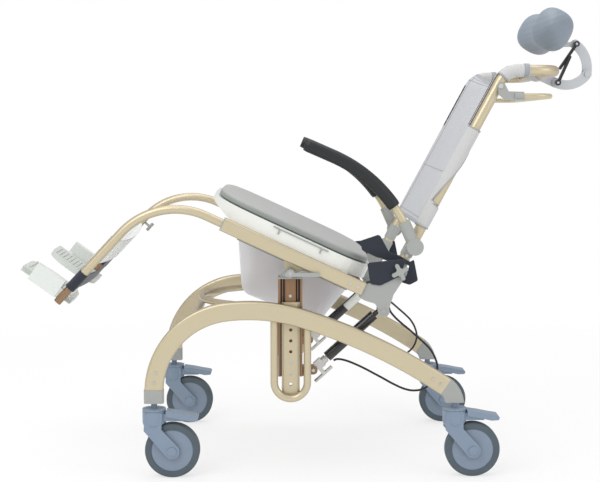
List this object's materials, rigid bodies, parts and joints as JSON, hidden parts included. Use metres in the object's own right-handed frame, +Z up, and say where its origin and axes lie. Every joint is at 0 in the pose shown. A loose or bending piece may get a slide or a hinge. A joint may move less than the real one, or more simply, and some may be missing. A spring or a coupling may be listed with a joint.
{
  "type": "reclining shower chair",
  "caption": "Reclining wheeled shower and commode chair with tilting seat, reclining fabric back, folding armrests, headrest, leg rests and braked swivel casters.",
  "frame": {"origin": "floor point under the middle of the overall length and width", "axes": "+X from the footplates towards the push bar, +Y from the side nearest the viewer to the far side, +Z up"},
  "size_m": [1.3424, 0.573, 1.0661],
  "materials": {
    "champagne_paint": "satin champagne powder coat",
    "grey_plastic": "smooth moulded grey nylon",
    "steel": "bright zinc and ground steel",
    "bronze": "bronze anodised aluminium",
    "white_shell": "white moulded polypropylene",
    "seat_foam": "soft grey moulded polyurethane",
    "pan_plastic": "pale grey polypropylene",
    "mesh_fabric": "pale grey waterproof fabric",
    "navy_webbing": "dark blue woven webbing",
    "plate_plastic": "pale moulded plastic",
    "black_paint": "black lacquer",
    "cable_black": "black sheathed cable",
    "black_foam": "closed-cell black foam",
    "link_metal": "matt silver aluminium",
    "headrest_foam": "moulded blue-grey polyurethane",
    "caster_plastic": "blue-grey moulded nylon"
  },
  "bodies": {
    "base": {"left_side_rail": "champagne_paint", "right_side_rail": "champagne_paint", "height_bars": "champagne_paint", "front_cross_tube": "champagne_paint", "caster_sockets": "grey_plastic", "base_screws": "steel"},
    "lift": {"columns": "bronze", "column_caps": "grey_plastic", "column_hoop": "champagne_paint", "tilt_pivot_bolts": "steel"},
    "seat": {"seat_frame": "champagne_paint", "rear_brackets": "grey_plastic", "seat_shell": "white_shell", "seat_pad": "seat_foam", "seat_fixings": "grey_plastic", "pan_runners": "grey_plastic", "leg_tubes": "champagne_paint", "calf_strap": "mesh_fabric", "heel_strap": "navy_webbing", "seat_belt": "navy_webbing", "release_cables": "cable_black"},
    "pan": {"commode_pan": "pan_plastic"},
    "back": {"back_frame": "champagne_paint", "back_sling": "mesh_fabric", "back_fittings": "grey_plastic", "headrest_bracket": "link_metal"},
    "release_bar": {"release_bar": "grey_plastic"},
    "lower_link": {"headrest_lower_link": "link_metal"},
    "upper_link": {"headrest_upper_link": "link_metal"},
    "head_pad": {"headrest_pad": "headrest_foam"},
    "lower_clamp": {"lower_clamp_lever": "black_paint"},
    "upper_clamp": {"upper_clamp_lever": "black_paint"},
    "left_lock": {"left_lock_lever": "grey_plastic"},
    "left_rod": {"left_spring_rod": "steel"},
    "left_cylinder": {"left_spring_body": "black_paint"},
    "left_arm": {"left_armrest": "grey_plastic", "left_arm_grip": "black_foam"},
    "left_knob": {"left_star_knob": "grey_plastic"},
    "left_foot": {"left_foot_hanger": "bronze"},
    "left_plate": {"left_footplate": "plate_plastic"},
    "front_left_fork": {"front_left_fork": "caster_plastic"},
    "front_left_wheel": {"front_left_wheel": "caster_plastic"},
    "front_left_pedal": {"front_left_pedal": "caster_plastic"},
    "rear_left_fork": {"rear_left_fork": "caster_plastic"},
    "rear_left_wheel": {"rear_left_wheel": "caster_plastic"},
    "rear_left_pedal": {"rear_left_pedal": "caster_plastic"},
    "right_lock": {"right_lock_lever": "grey_plastic"},
    "right_rod": {"right_spring_rod": "steel"},
    "right_cylinder": {"right_spring_body": "black_paint"},
    "right_arm": {"right_armrest": "grey_plastic", "right_arm_grip": "black_foam"},
    "right_knob": {"right_star_knob": "grey_plastic"},
    "right_foot": {"right_foot_hanger": "bronze"},
    "right_plate": {"right_footplate": "plate_plastic"},
    "front_right_fork": {"front_right_fork": "caster_plastic"},
    "front_right_wheel": {"front_right_wheel": "caster_plastic"},
    "front_right_pedal": {"front_right_pedal": "caster_plastic"},
    "rear_right_fork": {"rear_right_fork": "caster_plastic"},
    "rear_right_wheel": {"rear_right_wheel": "caster_plastic"},
    "rear_right_pedal": {"rear_right_pedal": "caster_plastic"}
  },
  "joints": [
    {"name": "height", "type": "slide", "parent": "base", "child": "lift", "axis": [0, 0, 1], "range_m": [0, 0.075]},
    {"name": "seat_tilt", "type": "hinge", "parent": "lift", "child": "seat", "pos_m": [-0.06, 0, 0.4642], "axis": [0, -1, 0], "range_deg": [0, 25], "deforming": ["release_cables"]},
    {"name": "pan_slide", "type": "slide", "parent": "seat", "child": "pan", "axis": [0.9063, 0, -0.4226], "range_m": [0, 0.3]},
    {"name": "recline", "type": "hinge", "parent": "seat", "child": "back", "pos_m": [0.186, 0, 0.46645], "axis": [0, 1, 0], "range_deg": [0, 30]},
    {"name": "release_squeeze", "type": "hinge", "parent": "back", "child": "release_bar", "pos_m": [0.41112, 0, 0.88132], "axis": [0, -1, 0], "range_deg": [0, 12], "stiffness_Nm_per_rad": 4, "springref_deg": -14.32},
    {"name": "headrest_reach", "type": "hinge", "parent": "back", "child": "lower_link", "pos_m": [0.58687, 0, 0.89658], "axis": [0, 1, 0], "range_deg": [-15, 20]},
    {"name": "headrest_height", "type": "hinge", "parent": "lower_link", "child": "upper_link", "pos_m": [0.66034, 0, 0.91759], "axis": [0, 1, 0], "range_deg": [-5, 20]},
    {"name": "headrest_nod", "type": "hinge", "parent": "upper_link", "child": "head_pad", "pos_m": [0.63167, 0, 0.98942], "axis": [0, 1, 0], "range_deg": [-12, 25]},
    {"name": "lower_clamp_turn", "type": "hinge", "parent": "back", "child": "lower_clamp", "pos_m": [0.58687, 0, 0.89658], "axis": [0, 1, 0], "range_deg": [0, 90]},
    {"name": "upper_clamp_turn", "type": "hinge", "parent": "upper_link", "child": "upper_clamp", "pos_m": [0.63167, 0, 0.98942], "axis": [0, -1, 0], "range_deg": [0, 90]},
    {"name": "left_lock_turn", "type": "hinge", "parent": "lift", "child": "left_lock", "pos_m": [-0.06, -0.268, 0.4642], "axis": [0, 1, 0], "range_deg": [0, 40]},
    {"name": "left_spring_turn", "type": "hinge", "parent": "lift", "child": "left_rod", "pos_m": [-0.007, -0.2, 0.2332], "axis": [0, -1, 0], "range_deg": [0, 12]},
    {"name": "left_spring_stroke", "type": "slide", "parent": "left_rod", "child": "left_cylinder", "axis": [0.7395, 0, 0.6732], "range_m": [0, 0.086]},
    {"name": "left_arm_raise", "type": "hinge", "parent": "back", "child": "left_arm", "pos_m": [0.22004, -0.248, 0.52196], "axis": [0, 1, 0], "range_deg": [0, 100]},
    {"name": "left_knob_turn", "type": "hinge", "parent": "seat", "child": "left_knob", "pos_m": [0.186, -0.266, 0.46645], "axis": [0, 1, 0], "range_deg": [0, 180]},
    {"name": "left_foot_slide", "type": "slide", "parent": "seat", "child": "left_foot", "axis": [-0.682, 0, -0.7314], "range_m": [0, 0.1]},
    {"name": "left_plate_fold", "type": "hinge", "parent": "left_foot", "child": "left_plate", "pos_m": [-0.61212, -0.2302, 0.43583], "axis": [0.809, 0, -0.5878], "range_deg": [0, 80], "deforming": ["heel_strap"]},
    {"name": "front_left_swivel", "type": "hinge", "parent": "base", "child": "front_left_fork", "pos_m": [-0.368, -0.26, 0.18], "axis": [0, 0, 1], "continuous": true},
    {"name": "front_left_roll", "type": "hinge", "parent": "front_left_fork", "child": "front_left_wheel", "pos_m": [-0.327, -0.26, 0.062], "axis": [0, 1, 0], "continuous": true},
    {"name": "front_left_brake", "type": "hinge", "parent": "front_left_fork", "child": "front_left_pedal", "pos_m": [-0.33402, -0.26, 0.14198], "axis": [0, 1, 0], "range_deg": [0, 8]},
    {"name": "rear_left_swivel", "type": "hinge", "parent": "base", "child": "rear_left_fork", "pos_m": [0.312, -0.26, 0.18], "axis": [0, 0, 1], "continuous": true},
    {"name": "rear_left_roll", "type": "hinge", "parent": "rear_left_fork", "child": "rear_left_wheel", "pos_m": [0.353, -0.26, 0.062], "axis": [0, 1, 0], "continuous": true},
    {"name": "rear_left_brake", "type": "hinge", "parent": "rear_left_fork", "child": "rear_left_pedal", "pos_m": [0.34598, -0.26, 0.14198], "axis": [0, 1, 0], "range_deg": [0, 8]},
    {"name": "right_lock_turn", "type": "hinge", "parent": "lift", "child": "right_lock", "pos_m": [-0.06, 0.268, 0.4642], "axis": [0, 1, 0], "range_deg": [0, 40]},
    {"name": "right_spring_turn", "type": "hinge", "parent": "lift", "child": "right_rod", "pos_m": [-0.007, 0.2, 0.2332], "axis": [0, -1, 0], "range_deg": [0, 12]},
    {"name": "right_spring_stroke", "type": "slide", "parent": "right_rod", "child": "right_cylinder", "axis": [0.7395, 0, 0.6732], "range_m": [0, 0.086]},
    {"name": "right_arm_raise", "type": "hinge", "parent": "back", "child": "right_arm", "pos_m": [0.22004, 0.248, 0.52196], "axis": [0, 1, 0], "range_deg": [0, 100]},
    {"name": "right_knob_turn", "type": "hinge", "parent": "seat", "child": "right_knob", "pos_m": [0.186, 0.266, 0.46645], "axis": [0, 1, 0], "range_deg": [0, 180]},
    {"name": "right_foot_slide", "type": "slide", "parent": "seat", "child": "right_foot", "axis": [-0.682, 0, -0.7314], "range_m": [0, 0.1]},
    {"name": "right_plate_fold", "type": "hinge", "parent": "right_foot", "child": "right_plate", "pos_m": [-0.61212, 0.2302, 0.43583], "axis": [-0.809, 0, 0.5878], "range_deg": [0, 80], "deforming": ["heel_strap"]},
    {"name": "front_right_swivel", "type": "hinge", "parent": "base", "child": "front_right_fork", "pos_m": [-0.368, 0.26, 0.18], "axis": [0, 0, 1], "continuous": true},
    {"name": "front_right_roll", "type": "hinge", "parent": "front_right_fork", "child": "front_right_wheel", "pos_m": [-0.327, 0.26, 0.062], "axis": [0, 1, 0], "continuous": true},
    {"name": "front_right_brake", "type": "hinge", "parent": "front_right_fork", "child": "front_right_pedal", "pos_m": [-0.33402, 0.26, 0.14198], "axis": [0, 1, 0], "range_deg": [0, 8]},
    {"name": "rear_right_swivel", "type": "hinge", "parent": "base", "child": "rear_right_fork", "pos_m": [0.312, 0.26, 0.18], "axis": [0, 0, 1], "continuous": true},
    {"name": "rear_right_roll", "type": "hinge", "parent": "rear_right_fork", "child": "rear_right_wheel", "pos_m": [0.353, 0.26, 0.062], "axis": [0, 1, 0], "continuous": true},
    {"name": "rear_right_brake", "type": "hinge", "parent": "rear_right_fork", "child": "rear_right_pedal", "pos_m": [0.34598, 0.26, 0.14198], "axis": [0, 1, 0], "range_deg": [0, 8]}
  ],
  "couplings": [
    {"joint": "left_spring_turn", "follows": "seat_tilt", "ratio": 0.4681},
    {"joint": "left_spring_stroke", "follows": "seat_tilt", "m_per_rad": 0.1933},
    {"joint": "right_spring_turn", "follows": "seat_tilt", "ratio": 0.4681},
    {"joint": "right_spring_stroke", "follows": "seat_tilt", "m_per_rad": 0.1933}
  ]
}
